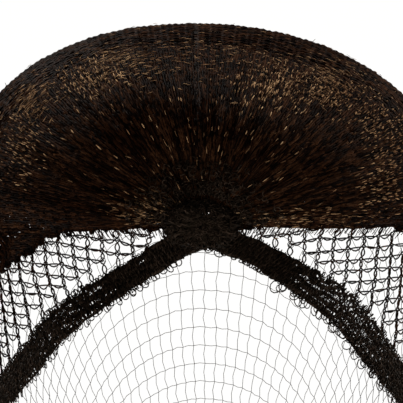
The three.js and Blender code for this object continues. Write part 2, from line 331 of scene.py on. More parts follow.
def strands(paths, normals, width, thick, sides=3, closed=False, glow=None):
    """Closed tubes along many paths of equal length, flat side on the face below them."""
    count, length = paths.shape[:2]
    if closed:
        along = np.roll(paths, -1, axis=1) - np.roll(paths, 1, axis=1)
    else:
        along = np.gradient(paths, axis=1)
    along = unit(along)
    normals = unit(normals - along * np.sum(normals * along, axis=-1, keepdims=True))
    across = np.cross(along, normals)
    width = np.broadcast_to(np.asarray(width, float), (count, length))[..., None]
    thick = np.broadcast_to(np.asarray(thick, float), (count, length))[..., None]
    turn = np.arange(sides) / sides * 2 * math.pi + math.pi / 2
    rings = [
        paths + across * width / 2 * math.cos(a) + normals * thick / 2 * math.sin(a) for a in turn
    ]
    points = np.stack(rings, axis=2)
    index = np.arange(count * length * sides).reshape(count, length, sides)
    here = index if closed else index[:, :-1]
    ahead = np.roll(index, -1, axis=1) if closed else index[:, 1:]
    quads = np.stack((here, ahead, np.roll(ahead, -1, axis=2), np.roll(here, -1, axis=2)), axis=-1)
    faces = [quads.reshape(-1, 4)]
    if not closed:
        faces.append(index[:, 0, :])
        faces.append(index[:, -1, ::-1])
    if glow is None:
        glow = glow_along(count, length)
    return points.reshape(-1, 3), faces, np.repeat(glow, sides)


def glow_along(count, length):
    """How bright each ring of many strands is, alike over short dashes of a strand."""
    dashes = YARN_GLOW * glow_source.random((count, length // DASH_RINGS + 2)) ** 2
    shift = glow_source.integers(0, DASH_RINGS, (count, 1))
    place = (np.arange(length)[None, :] + shift) // DASH_RINGS
    return np.take_along_axis(dashes, place, axis=1).ravel()


class Weaver:
    """Gathers tubes into one mesh."""

    def __init__(self):
        self.points = []
        self.faces = []
        self.glow = []
        self.total = 0

    def add(self, made):
        """Take in the points and faces of more tubes."""
        points, faces, glow = made
        self.glow.append(glow)
        for part in faces:
            self.faces.append(part + self.total)
        self.points.append(points)
        self.total += len(points)

    def piece(self, name, material, nodes):
        """Make the mesh, in the row's frame, ride on the root body and stand for its nodes."""
        points = (np.concatenate(self.points) + TO_ROW) * METRES
        mesh = bpy.data.meshes.new(name)
        sizes = np.concatenate([np.full(len(part), part.shape[1]) for part in self.faces])
        loops = np.concatenate([part.ravel() for part in self.faces])
        mesh.vertices.add(len(points))
        mesh.vertices.foreach_set("co", points.ravel())
        mesh.loops.add(len(loops))
        mesh.loops.foreach_set("vertex_index", loops.astype(np.int32))
        mesh.polygons.add(len(sizes))
        starts = np.concatenate(((0,), np.cumsum(sizes)[:-1]))
        mesh.polygons.foreach_set("loop_start", starts.astype(np.int32))
        mesh.polygons.foreach_set("use_smooth", np.ones(len(sizes), bool))
        mesh.update(calc_edges=True)
        mesh.validate()
        made = bpy.data.objects.new(name, mesh)
        bpy.context.scene.collection.objects.link(made)
        glow = mesh.attributes.new("glow", "FLOAT", "POINT")
        glow.data.foreach_set("value", np.concatenate(self.glow).astype(np.float32))
        mesh.materials.append(material)
        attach(made, "root")
        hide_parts(*nodes)
        return made


YARN_ROUGHNESS = 0.5
YARN_TINT = (1.0, 0.72, 0.46, 1.0)
PATCH_SCALE = 34.0
SPECK_SCALE = 900.0
TWIST_SCALE = 2600.0
TWIST_DEPTH = 0.0002
# How much the yarn bends light, how strong its sheen is, and how rough its twist is
NET_FINISH = (1.15, 0.25, 0.6)
BAND_FINISH = (1.3, 0.4, 0.7)


def set_socket(node, name, value):
    """Set an input of a node by its name."""
    node.inputs[name].default_value = value


def noise(nodes, links, place, scale):
    """A noise texture on the object's own coordinates."""
    made = nodes.new("ShaderNodeTexNoise")
    set_socket(made, "Scale", scale)
    set_socket(made, "Detail", 2.0)
    links.new(place.outputs["Object"], made.inputs["Vector"])
    return made


def ramp(nodes, low, high, low_colour, high_colour):
    """A colour ramp between two positions."""
    made = nodes.new("ShaderNodeValToRGB")
    first, second = made.color_ramp.elements
    first.position, second.position = low, high
    first.color, second.color = (*low_colour, 1), (*high_colour, 1)
    return made


def blended(nodes, links, kind, factor, first, second):
    """Two colours mixed; the factor and the colours are sockets or values."""
    made = nodes.new("ShaderNodeMix")
    made.data_type = "RGBA"
    made.blend_type = kind
    for name, value in (("Factor", factor), ("A", first), ("B", second)):
        if isinstance(value, bpy.types.NodeSocket):
            links.new(value, made.inputs[name])
        else:
            set_socket(made, name, value)
    return made.outputs["Result"]


BLACK, WHITE = (0, 0, 0), (1, 1, 1)
UNEVEN = (0.5, 0.42, 0.38)


def yarn_material(name, dark, brown, glint, shade, bend, sheen, fibre):
    """Fibrous yarn: dark strands, browner patches, short dashes of painted highlight in the glint colour and
    a fine twist.
    """
    material = bpy.data.materials.new(name)
    material.use_nodes = True
    tree = material.node_tree
    nodes, links = tree.nodes, tree.links
    shader = nodes["Principled BSDF"]
    place = nodes.new("ShaderNodeTexCoord")
    patches = noise(nodes, links, place, PATCH_SCALE)
    specks = noise(nodes, links, place, SPECK_SCALE)
    twist = noise(nodes, links, place, TWIST_SCALE)
    glow = nodes.new("ShaderNodeAttribute")
    glow.attribute_name = "glow"
    yarn = ramp(nodes, 0.05, YARN_GLOW, dark, brown)
    links.new(glow.outputs["Fac"], yarn.inputs["Fac"])
    # Painted highlight: where the glow attribute runs above YARN_GLOW, the colour turns towards the glint
    # colour
    pale = ramp(nodes, YARN_GLOW, 1.0, BLACK, WHITE)
    links.new(glow.outputs["Fac"], pale.inputs["Fac"])
    colour = blended(nodes, links, "MIX", pale.outputs["Color"], yarn.outputs["Color"], (*glint, 1))
    worn = ramp(nodes, 0.35, 0.65, shade, WHITE)
    links.new(patches.outputs["Fac"], worn.inputs["Fac"])
    colour = blended(nodes, links, "MULTIPLY", 1.0, colour, worn.outputs["Color"])
    fine = ramp(nodes, 0.35, 0.6, shade, WHITE)
    links.new(specks.outputs["Fac"], fine.inputs["Fac"])
    colour = blended(nodes, links, "MULTIPLY", 1.0, colour, fine.outputs["Color"])
    links.new(colour, shader.inputs["Base Color"])
    bump = nodes.new("ShaderNodeBump")
    set_socket(bump, "Strength", fibre)
    set_socket(bump, "Distance", TWIST_DEPTH)
    links.new(twist.outputs["Fac"], bump.inputs["Height"])
    links.new(bump.outputs["Normal"], shader.inputs["Normal"])
    set_socket(shader, "Roughness", YARN_ROUGHNESS)
    set_socket(shader, "IOR", bend)
    set_socket(shader, "Specular IOR Level", sheen)
    set_socket(shader, "Specular Tint", YARN_TINT)
    return material


def plain_material(name, colour, roughness):
    """An even pale finish for the floor."""
    material = bpy.data.materials.new(name)
    material.use_nodes = True
    shader = material.node_tree.nodes["Principled BSDF"]
    set_socket(shader, "Base Color", (*colour, 1))
    set_socket(shader, "Roughness", roughness)
    set_socket(shader, "Specular IOR Level", 0.0)
    return material


def size(name, description, default, low=0.01, high=500.0):
    """A length setting in millimetres."""
    return bpy.props.FloatProperty(name=name, description=description, default=default, min=low, max=high)


def colour(name, description, default):
    """A colour setting."""
    return bpy.props.FloatVectorProperty(
        name=name, description=description, default=default, subtype="COLOR", size=3, min=0, max=1
    )


class HairnetNetSettings(bpy.types.PropertyGroup):
    """Sizes and colours of the net."""

    ray_count: bpy.props.IntProperty(
        name="Columns over the front", description="Knit columns that fan out from the gather", default=132
    )
    row_count: bpy.props.IntProperty(
        name="Rows over the front", description="Knit rows from the gather to the top", default=62
    )
    yarn: size("Relaxed yarn, mm", "Width of the bulky relaxed yarn of the crown", 1.3)
    stretched_yarn: size("Stretched yarn, mm", "Width of the yarn where the net is stretched open", 0.7)
    cell_width: size("Cell width, mm", "Width of an open cell in the windows, as seen from the front", 5.6)
    cell_height: size("Cell height, mm", "Height of an open cell in the windows", 4.1)
    side_cell: size("Side cell width, mm", "Width of an open cell round the sides", 10.5)
    back_column: size("Back columns, mm", "Distance between columns over the crown", 3.3)
    back_row: size("Back rows, mm", "Distance between rows over the crown", 3.0)
    back_yarn: size("Back yarn, mm", "Width of the yarn over the crown's back", 1.7)
    open_back_yarn: size("Nape yarn, mm", "Width of the yarn where the back is stretched open", 0.24)
    dark: colour("Dark yarn", "Colour of most of the yarn", (0.004, 0.0014, 0.001))
    brown: colour("Brown yarn", "Colour of the browner strands", (0.085, 0.036, 0.016))
    # The glint colour is a painted highlight, given to the short fibres laid where light catches the crown
    glint: colour("Glints", "Colour of the palest fibres", (0.95, 0.61, 0.32))


class HairnetBandSettings(bpy.types.PropertyGroup):
    """Sizes and colours of the band, its picot loops and the gather."""

    rows: bpy.props.IntProperty(
        name="Rows of curls", description="Rows of curly yarn across the band", default=10
    )
    curl_pitch: size("Curl pitch, mm", "Distance between the turns of a curl along the band", 1.2)
    curl_radius: size("Curl radius, mm", "Radius of a curl", 0.95)
    yarn: size("Band yarn, mm", "Width of the curly yarn", 0.5)
    picot_yarn: size("Picot thread, mm", "Width of the thread of the picot loops", 0.42)
    dark: colour("Dark yarn", "Colour of most of the yarn", (0.0015, 0.001, 0.0008))
    brown: colour("Brown yarn", "Colour of the browner strands", (0.075, 0.05, 0.036))


class HairnetStageSettings(bpy.types.PropertyGroup):
    """The camera, the floor and the light."""

    lens: bpy.props.FloatProperty(name="Lens", description="Focal length of the camera", default=342.7)
    floor_drop: bpy.props.FloatProperty(
        name="Floor", description="Depth of the floor below the origin", default=0.26, subtype="DISTANCE"
    )
    floor: colour("Floor", "Colour of the floor", (0.93, 0.925, 0.915))
    world_strength: bpy.props.FloatProperty(name="Sky light", description="Even white light", default=0.1)


def net_material():
    """The net's yarn, made once."""
    settings = bpy.context.scene.hairnet_net
    found = bpy.data.materials.get("net_yarn_knit")
    return found or yarn_material(
        "net_yarn_knit", settings.dark, settings.brown, settings.glint, UNEVEN, *NET_FINISH
    )


def band_material():
    """The band's yarn, made once."""
    settings = bpy.context.scene.hairnet_band
    found = bpy.data.materials.get("band_yarn_curls")
    return found or yarn_material(
        "band_yarn_curls", settings.dark, settings.brown, settings.brown, UNEVEN, *BAND_FINISH
    )


mould = Mould()

# Front fan: the rays leave a point inside the crown, in planes through the gather seen from the front
FAN_ENDS = (-107.0, 102.0)
FAN_CENTRE_Y = -12.0
FAN_CENTRE_RISE = 26.0
FAN_SAMPLES = 160
FAN_START = 5.4
FAN_END_SWING = 99.0
HALF_RAY_START = 2
RIDGE_MARGIN = 1.0

# Lower edge of the dense knit, in millimetres to the right of the gather and above it
KNIT_EDGE = (
    (-110, -45), (-75, -20.5), (-69, -16), (-62.5, -11.4), (-59, -8.2), (-53, -5.4), (-40, -4),
    (-17, -2.4), (0, 0), (17, -2.2), (40, -2.6), (60, -3.2), (72, -4.4), (80, -8), (90, -17), (110, -45),
)


def edge_height(x):
    """Height of the dense knit's lower edge at a place seen from the front."""
    across, above = zip(*KNIT_EDGE)
    return GATHER_HEIGHT + np.interp(x - GATHER_X, across, above)


def ridge_curve():
    """Angle from the gather, and distance, along the ridge that the front view shows as the outline."""
    side = mould.points[[MOULD_TURNS // 4, 3 * MOULD_TURNS // 4]]
    over = np.concatenate((side[0], side[1][::-1]))
    angle = np.degrees(np.arctan2(over[:, 0] - GATHER_X, over[:, 2] - GATHER_HEIGHT))
    steps = np.linalg.norm(np.diff(over, axis=0), axis=-1)
    return angle, np.concatenate(((0,), np.cumsum(steps)))


def fan_angles(count):
    """Angles of the rays, a like distance apart along the ridge, in radians."""
    angle, run = ridge_curve()
    keep = (angle >= FAN_ENDS[0] - RIDGE_MARGIN) & (angle <= FAN_ENDS[1] + RIDGE_MARGIN)
    order = np.argsort(angle[keep])
    angle, run = angle[keep][order], run[keep][order]
    low, high = np.interp(FAN_ENDS, angle, run)
    return np.radians(np.interp(np.linspace(low, high, count), run, angle))


def fan_ray(angle):
    """Points along the face from the gather to the ridge, straight when seen from the front."""
    away = np.array((math.sin(angle), 0, math.cos(angle)))
    hub = np.array((GATHER_X, FAN_CENTRE_Y, GATHER_HEIGHT)) + away * FAN_CENTRE_RISE
    start = np.array((GATHER_X, -OPENING_FRONT, GATHER_HEIGHT)) + away * FAN_START
    first = math.atan2(np.dot(start - hub, away), -(start[1] - hub[1]))
    places = []
    for swing in np.linspace(first, math.radians(FAN_END_SWING), FAN_SAMPLES):
        aim = away * math.sin(swing) - np.array((0, math.cos(swing), 0))
        hit = mould.bvh.ray_cast(Vector(hub), Vector(aim), 400.0)
        if hit[0] is not None:
            places.append(hit[0])
    return np.array(places)


def fan_knots(angles, rows, rng):
    """Knots of the fan, a like share of each ray apart, with rows that wander a little."""
    phase = rng.random((4, rows)) * 2 * math.pi
    knots = []
    for i, angle in enumerate(angles):
        places = fan_ray(angle)
        run = np.concatenate(((0,), np.cumsum(np.linalg.norm(np.diff(places, axis=0), axis=-1))))
        wander = np.sin(0.31 * i + phase[0]) + np.sin(0.83 * i + phase[1]) + np.sin(1.7 * i + phase[2])
        share = np.clip(np.arange(rows) + 0.22 * wander, 0, rows - 1) / (rows - 1) * run[-1]
        knots.append(np.stack([np.interp(share, run, places[:, axis]) for axis in range(3)], axis=-1))
    return np.array(knots)


def grid_normals(knots):
    """Outward normals of a grid of knots."""
    made = unit(np.cross(np.gradient(knots, axis=0), np.gradient(knots, axis=1)))
    outward = np.sum(made * knots, axis=-1)
    return made * np.where(outward < 0, -1, 1)[..., None]


def spacing(knots, axis):
    """Distance from each knot to its neighbours along one way of the grid."""
    return np.linalg.norm(np.gradient(knots, axis=axis), axis=-1)


def kept_run(kept):
    """The longest run of knots that is kept on a line, as a slice."""
    edges = np.flatnonzero(np.diff(np.concatenate(([0], kept.astype(int), [0]))))
    if not len(edges):
        return slice(0, 0)
    lengths = edges[1::2] - edges[::2]
    best = int(np.argmax(lengths))
    return slice(edges[2 * best], edges[2 * best + 1])


def strand_along(knots, normals, side, width, thick, bow, lift, bends, rng):
    """One strand through a line of knots, bowed to a side between them, over and under at them."""
    over = lift * width * np.where(np.arange(len(knots)) % 2 == 0, 1, -1)
    path = knots + normals * over[:, None] + side * (0 if bends else bow)
    if not bends:
        return strands(path[None], normals[None], width, width * thick)
    middle = (knots[:-1] + knots[1:]) / 2
    sway = bow * (1 + 0.35 * rng.standard_normal(len(middle)))
    middle = middle + (side[:-1] + side[1:]) / 2 * sway[:, None]
    made = np.empty((2 * len(knots) - 1, 3))
    made[::2] = path
    made[1::2] = middle
    spread = np.empty((2 * len(knots) - 1, 3))
    spread[::2] = normals
    spread[1::2] = (normals[:-1] + normals[1:]) / 2
    wide = np.interp(np.arange(2 * len(knots) - 1) / 2, np.arange(len(knots)), width)
    return strands(made[None], spread[None], wide, wide * thick)


# Strands of a column and of a row: bow as a share of the gap beside them, lift, whether they bend between
# knots, and their width as a share of the gap
COLUMN_STRANDS = ((-0.2, 0.2, True, 0.72), (0.2, -0.2, True, 0.72), (0.5, 0.0, False, 0.85))
ROW_STRANDS = ((0.32, -0.2, True, 0.55), (-0.14, 0.2, False, 0.55))
YARN_FLATNESS = 0.6
ROW_SINK = 0.5


def weave_fan(weaver, knots, normals, kept, yarn, rng):
    """Lay the strands of the fan's columns and rows."""
    beside = spacing(knots, 0)
    ahead = spacing(knots, 1)
    across = np.gradient(knots, axis=0)
    along = np.gradient(knots, axis=1)
    rows = knots.shape[1]
    share = np.arange(rows) / (rows - 1)
    sink = ROW_SINK * (1 - 2.2 * smooth_step(0.5, 0.72, share))
    for i in range(knots.shape[0]):
        run = kept_run(kept[i])
        if i % 2:
            run = slice(max(run.start, HALF_RAY_START), run.stop)
        if run.stop - run.start < 3:
            continue
        for bow, lift, bends, wide in COLUMN_STRANDS:
            width = np.minimum(yarn, beside[i, run] * wide * (1 + (np.arange(rows)[run] < HALF_RAY_START)))
            line = (knots[i, run], normals[i, run], across[i, run])
            weaver.add(strand_along(*line, width, YARN_FLATNESS, bow, lift, bends, rng))
    for j in range(1, rows):
        run = kept_run(kept[:, j])
        if run.stop - run.start < 3:
            continue
        for bow, lift, bends, wide in ROW_STRANDS:
            width = np.minimum(yarn, ahead[run, j] * wide)
            low = knots[run, j] - normals[run, j] * (sink[j] * width)[:, None]
            line = (low, normals[run, j], along[run, j])
            weaver.add(strand_along(*line, width, YARN_FLATNESS, bow, lift, bends, rng))


# Painted highlights, as short fibres in the glint colour where light catches the crown: middle and reach as
# seen from the front, how many, and whether they run along the rows
SHINE = (
    (24, 59, 13, 8, 420, False),
    (46, 55, 15, 7, 420, False),
    (64, 45, 9, 9, 260, False),
    (66, 24, 8, 14, 320, False),
    (-44, 62, 11, 9, 420, False),
    (-68, 38, 8, 14, 300, False),
    (-20, 14, 16, 4, 170, False),
    (40, 10, 26, 4, 240, False),
    (0, 44, 60, 30, 260, False),
    (0, 76, 50, 12, 1000, True),
    (-30, 67, 18, 8, 420, True),
    (-66, 55, 9, 9, 520, True),
    (50, 62, 20, 10, 560, True),
    (74, 40, 8, 14, 300, False),
)
SHINE_LENGTH = 1.6
SHINE_WIDTH = 0.38
SHINE_LIFT = 0.45
SHINE_NEAR = 1.1


def shine(knots, normals, rng):
    """Painted highlights: short fibres in the glint colour that lie along the columns, or along the rows
    near the top.
    """
    flat = knots.reshape(-1, 3)
    out = normals.reshape(-1, 3)
    ways = [unit(np.gradient(knots, axis=axis)).reshape(-1, 3) for axis in (1, 0)]
    made = []
    for x, z, wide, high, count, by_row in SHINE:
        aim = np.array((x, z)) + rng.standard_normal((count, 2)) * (wide * 0.55, high * 0.55)
        apart = np.hypot(flat[:, 0] - aim[:, :1], flat[:, 2] - aim[:, 1:])
        near = np.argmin(apart, axis=1)
        near = near[apart[np.arange(count), near] < SHINE_NEAR]
        shift = rng.standard_normal((len(near), 3)) * 0.5
        reach = SHINE_LENGTH * (0.4 + 0.4 * rng.random(len(near)))[:, None]
        middle = flat[near] + shift + out[near] * SHINE_LIFT
        along = ways[int(by_row)][near] + 0.12 * rng.standard_normal((len(near), 3))
        made.append((middle - along * reach, middle + out[near] * 0.12, middle + along * reach, out[near]))
    first, centre, last, facing = (np.concatenate(part) for part in zip(*made))
    path = np.stack((first, centre, last), axis=1)
    # Glow above YARN_GLOW, so these fibres take the painted highlight colour
    glow = np.repeat(YARN_GLOW + (1 - YARN_GLOW) * rng.random(len(path)) ** 1.1, 3)
    width = SHINE_WIDTH * np.array((0.5, 1.0, 0.5)) * (0.8 + 0.7 * rng.random((len(path), 1)) ** 2)
    return strands(path, np.repeat(facing[:, None], 3, axis=1), width, width * 0.5, 3, glow=glow)


STROKE_STEP = 0.8
STROKE_REACH = 76.0
STROKE_CLEAR = 9.0
STROKE_UP = 1.6
STROKE_DOWN = 1.9
STROKE_LEAN = 0.55
STROKE_WIDTH = 0.42
STROKE_MISS = 6.0


def face_from_front(x, z):
    """Places on the face, and normals, as seen from the front at x and z."""
    places, normals = [], []
    for across, height in zip(x, z):
        hit = mould.bvh.ray_cast(Vector((across, -300.0, height)), Vector((0, 1, 0)), 600.0)
        places.append(hit[0] or (across, -OPENING_FRONT, height))
        normals.append(hit[1] or (0, -1, 0))
    normals = np.array(normals)
    return np.array(places), normals * np.where(normals[:, 1] > 0, -1, 1)[:, None]


def edge_strokes(side, rng):
    """Short slanted strands where the knit of a lobe turns under along its lower edge."""
    across = np.arange(STROKE_CLEAR, STROKE_REACH, STROKE_STEP)
    across = across + rng.standard_normal(len(across)) * 0.3
    x = GATHER_X + side * across
    z = edge_height(x)
    up = STROKE_UP * (0.5 + rng.random(len(x)))
    down = STROKE_DOWN * (0.4 + 1.1 * rng.random(len(x)))
    starts, normals = face_from_front(x + side * STROKE_LEAN * up, z + up)
    ends, _ = face_from_front(x - side * STROKE_LEAN * down, z - down)
    missed = np.abs(ends[:, 1] - starts[:, 1]) > STROKE_MISS
    ends[:, 1] = np.where(missed, starts[:, 1], ends[:, 1]) - 0.4
    way = side_of(starts, ends, normals)
    bow = 0.25 * rng.standard_normal(len(x))
    return links(starts, ends, normals, normals, way, STROKE_WIDTH, 0.3, bow, 0.1, 2)


STUB_COUNT = 14


def stubs(knots, normals, rng):
    """A few loose ends of yarn that stand off the crown."""
    rays, rows = knots.shape[:2]
    i = rng.integers(2, rays - 2, STUB_COUNT)
    j = rng.integers(rows - 7, rows - 1, STUB_COUNT)
    starts = knots[i, j]
    ends = starts + normals[i, j] * (0.5 + 0.5 * rng.random(STUB_COUNT))[:, None]
    ends = ends + rng.standard_normal((STUB_COUNT, 3)) * 0.9
    way = side_of(starts, ends, np.roll(normals[i, j], 1, axis=1))
    return links(starts, ends, normals[i, j], normals[i, j], way, 0.22, 0.22, np.full(STUB_COUNT, 0.3), 0, 3)


class HAIRNET_OT_front_net(bpy.types.Operator):
    """Lay the dense knit of the crown's front, which fans out from the gather"""

    bl_idname = "hairnet.front_net"
    bl_label = "Front net"

    def execute(self, context):
        settings = context.scene.hairnet_net
        rng = np.random.default_rng(11)
        knots = fan_knots(fan_angles(settings.ray_count), settings.row_count, rng)
        normals = grid_normals(knots)
        kept = knots[..., 2] >= edge_height(knots[..., 0]) + 0.5 * rng.standard_normal(knots.shape[:2])
        knots = knots - normals * NET_WALL / 2 + rng.standard_normal(knots.shape) * 0.12
        middle = settings.ray_count // 2
        sides = (("front_net_left", slice(0, middle + 1), -1), ("front_net_right", slice(middle, None), 1))
        for name, part, side in sides:
            weaver = Weaver()
            weave_fan(weaver, knots[part], normals[part], kept[part], settings.yarn, rng)
            weaver.add(edge_strokes(side, rng))
            weaver.add(stubs(knots[part], normals[part], rng))
            weaver.piece(name, net_material(), ["net_crown"])
        # Painted highlights: short fibres in the glint colour over the crown's front
        fibres = Weaver()
        fibres.add(shine(knots, normals, rng))
        fibres.piece("net_highlight_fibres", net_material(), ["net_crown"])
        return {"FINISHED"}


def links(starts, ends, start_normals, end_normals, side, width, thick, bow, lift, steps, eye=0.0):
    """One strand for each pair of knots, bowed to a side and lifted off the face at one end."""
    t = np.linspace(0, 1, steps + 1)[None, :, None]
    normals = unit(start_normals[:, None] * (1 - t) + end_normals[:, None] * t)
    path = starts[:, None] * (1 - t) + ends[:, None] * t
    swell = (1 + eye) * np.sin(math.pi * t) - eye
    path = path + side[:, None] * np.reshape(bow, (-1, 1, 1)) * swell
    path = path + normals * lift * np.cos(math.pi * t)
    if eye:
        width = thick = width * (1 - KNOT_PINCH * (1 - np.sin(math.pi * t[0, :, 0])))
    return strands(path, normals, width, thick)


def side_of(starts, ends, normals):
    """The way across each link, in the face."""
    return unit(np.cross(normals, ends - starts))


def weave_links(
    weaver, first, second, yarn, bow, lift, steps, rng,
    straight_first=False, eye=0.0, whiches=(-1, 1), flat=1,
):
    """Strands for each link between the (place, normal) pairs, bowed apart and crossed at the knots."""
    starts, start_normals = first
    ends, end_normals = second
    side = side_of(starts, ends, start_normals)
    reach = np.linalg.norm(ends - starts, axis=-1)
    for which in whiches:
        bent = which * bow * reach * (1 + 0.3 * rng.standard_normal(len(reach)))
        count = steps
        if straight_first and which < 0:
            bent = bent * 0.15
            count = max(1, steps // 2)
        both = (starts, ends, start_normals, end_normals)
        weaver.add(links(*both, side, yarn, yarn * flat, bent, which * lift, count, eye))


# Windows: how the rows tilt and how far out, how the columns slope away at their top, and how they
# curve back
WINDOW_SIDES = (
    ("window_net_left", -1, (0.105, 60.0), (0.3, 0.0136)),
    ("window_net_right", 1, (0.08, 46.0), (0.08, 0.0067)),
)
WINDOW_TOP = 6.2
WINDOW_START = 3.0
WINDOW_ROWS = 27
SHOWN_HALF_WIDTH = 75.0
CURVE_REACH = 25.0
WINDOW_TUCK = 1.3
WINDOW_OVERLAP = 0.7
KNOT_PINCH = 0.42
EYELET_RADIUS = 1.15
EYELET_YARN = 0.5
EYELET_SHIFT = 0.12
EYELET_SIDES = 7


def opening_run():
    """Distance along the opening from the front, at turns from front to back."""
    turn = np.linspace(0, math.pi, 721)
    x, y = on_oval(turn, OPENING_HALF_WIDTH, OPENING_FRONT, OPENING_BACK)
    return turn, np.concatenate(((0,), np.cumsum(np.hypot(np.diff(x), np.diff(y)))))


def column_places(settings):
    """Distances along the opening of a window's columns, from the front to the side."""
    turns, run = opening_run()
    shown = np.arange(WINDOW_START, SHOWN_HALF_WIDTH, settings.cell_width)
    first = np.interp(np.arcsin(shown / OPENING_HALF_WIDTH), turns, run)
    quarter = np.interp(math.pi / 2, turns, run)
    count = max(int((quarter - first[-1]) / settings.side_cell), 1)
    return np.concatenate((first, np.linspace(first[-1], quarter, count + 1)[1:]))


def window_knots(sign, tilt, curve, settings, rng):
    """Knots of one window, with the rows that are kept and those that lie on the rim."""
    turns, run = opening_run()
    across = column_places(settings)[:, None]
    drop = np.arange(-1, WINDOW_ROWS)[None, :] * settings.cell_height
    rise, reach = tilt
    height = WINDOW_TOP - drop + rise * np.minimum(across, reach)
    quarter = across[-1, 0]
    slope, bend = curve
    bent = np.clip(drop, 0, CURVE_REACH)
    across = across + slope * drop - bend * bent**2 - 2 * bend * CURVE_REACH * (drop - bent) * (drop > 0)
    across = across + rng.standard_normal(height.shape) * 0.38
    height = height + rng.standard_normal(height.shape) * 0.3
    across = np.minimum(across, quarter)
    across[-1] = quarter
    turn = sign * np.interp(np.abs(across), run, turns) * np.where(across < 0, -1, 1)
    rim = rim_height(turn)
    below = height < rim + settings.cell_height * 0.3
    on_rim = below & ~np.roll(below, 1, axis=1)
    on_rim[:, 0] = False
    height = np.where(on_rim, rim, height)
    place, normal = mould.at_height(turn, height)
    under = height <= edge_height(place[..., 0]) + settings.cell_height * WINDOW_OVERLAP
    kept = under & (~below | on_rim) & (sign * turn > math.radians(1.5))
    place[..., 2] -= np.where(on_rim, WINDOW_TUCK, 0)
    place = place - normal * NET_WALL / 2
    return place, normal, kept, on_rim


def masked(place, normal, keep, first, second):
    """The (place, normal) pairs at both ends of the links whose two knots are kept."""
    both = keep[first] & keep[second]
    return (place[first][both], normal[first][both]), (place[second][both], normal[second][both])


UPWARD = (np.s_[:, :-1], np.s_[:, 1:])
ACROSS = (np.s_[:-1, :], np.s_[1:, :])


def eyelets(place, normal, yarn, radius, rng):
    """Small rings of thread round the knots."""
    turn = np.arange(EYELET_SIDES) / EYELET_SIDES * 2 * math.pi
    flat = unit(np.cross(normal, rng.standard_normal(place.shape)))
    other = np.cross(normal, flat)
    reach = radius * (0.8 + 0.4 * rng.random(len(place)))[:, None, None]
    squeeze = (0.65 + 0.35 * rng.random(len(place)))[:, None, None]
    path = place[:, None] + flat[:, None] * reach * np.cos(turn)[None, :, None]
    path = path + other[:, None] * reach * squeeze * np.sin(turn)[None, :, None]
    normals = np.broadcast_to(normal[:, None], path.shape)
    return strands(path, normals, yarn, yarn, 3, closed=True)


class HAIRNET_OT_window_net(bpy.types.Operator):
    """Lay the open cells of the two windows, with a double thread on each side of a cell"""

    bl_idname = "hairnet.window_net"
    bl_label = "Window net"

    def execute(self, context):
        settings = context.scene.hairnet_net
        yarn = settings.stretched_yarn
        for name, sign, tilt, curve in WINDOW_SIDES:
            rng = np.random.default_rng(20 + sign)
            weaver = Weaver()
            place, normal, kept, on_rim = window_knots(sign, tilt, curve, settings, rng)
            upward = masked(place, normal, kept, *UPWARD)
            weave_links(weaver, *upward, yarn, 0.17, 0.2, 6, rng, eye=1.05)
            inside = kept & ~on_rim
            across = masked(place, normal, inside, *ACROSS)
            weave_links(weaver, *across, yarn, -0.12 * sign, 0.2, 6, rng, True, eye=0.9)
            knots, normals = place[inside], normal[inside]
            shift = rng.standard_normal(knots.shape) * EYELET_SHIFT
            shift -= normals * np.sum(shift * normals, axis=-1, keepdims=True)
            weaver.add(eyelets(knots + shift, normals, yarn * EYELET_YARN, EYELET_RADIUS, rng))
            weaver.piece(name, net_material(), ["net_crown"])
        return {"FINISHED"}


# The back is dense above this line, given by degrees from the front and height, and open below it
BACK_LINE_TURNS = (90, 104, 125, 180)
BACK_LINE_HEIGHTS = (-14, -5, 1, 4)
BACK_WOBBLE = 0.0022
BACK_FLATNESS = 0.35
BACK_AHEAD = 2
BACK_FADE = 15.0
OPEN_BACK_START = 0.4
OPEN_BACK_CELL = 2.6
OPEN_BACK_BOW = 0.07
OPEN_BACK_LIFT = 0.14


def back_knots(column, row, sign, ahead=0):
    """Knots of one side of the back, on chords of the face rolled out as a disc."""
    side_length = mould.length[MOULD_TURNS // 4]
    back_length = mould.length[0]
    x = np.arange(int(side_length / column) + 1)[:, None] * column / side_length
    y = np.arange(-ahead, int(back_length / row) + 2)[None, :] * row / back_length
    x, y = np.broadcast_arrays(x, y)
    x = x + BACK_WOBBLE * np.sin(31 * y + 9 * x) * (x > 0)
    share = 1 - np.hypot(x, y)
    turn = sign * np.clip(np.arctan2(x, -y), 0 if ahead else math.pi / 2, math.pi)
    past = share < row / back_length * 0.3
    on_rim = past & ~np.roll(past, 1, axis=1)
    on_rim[:, 0] = past[:, 0]
    place, normal = mould.at_share(turn, np.where(on_rim, 0, np.maximum(share, 0)))
    place[..., 2] -= np.where(on_rim, WINDOW_TUCK, 0)
    return place - normal * NET_WALL / 2, normal, ~past | on_rim, on_rim


def above_line(place):
    """How far each place of the back lies above the line where its knit turns open."""
    turn = np.degrees(np.abs(np.arctan2(place[..., 0] / NET_HALF_WIDTH, -place[..., 1] / NET_BACK)))
    return place[..., 2] - np.interp(turn, BACK_LINE_TURNS, BACK_LINE_HEIGHTS)


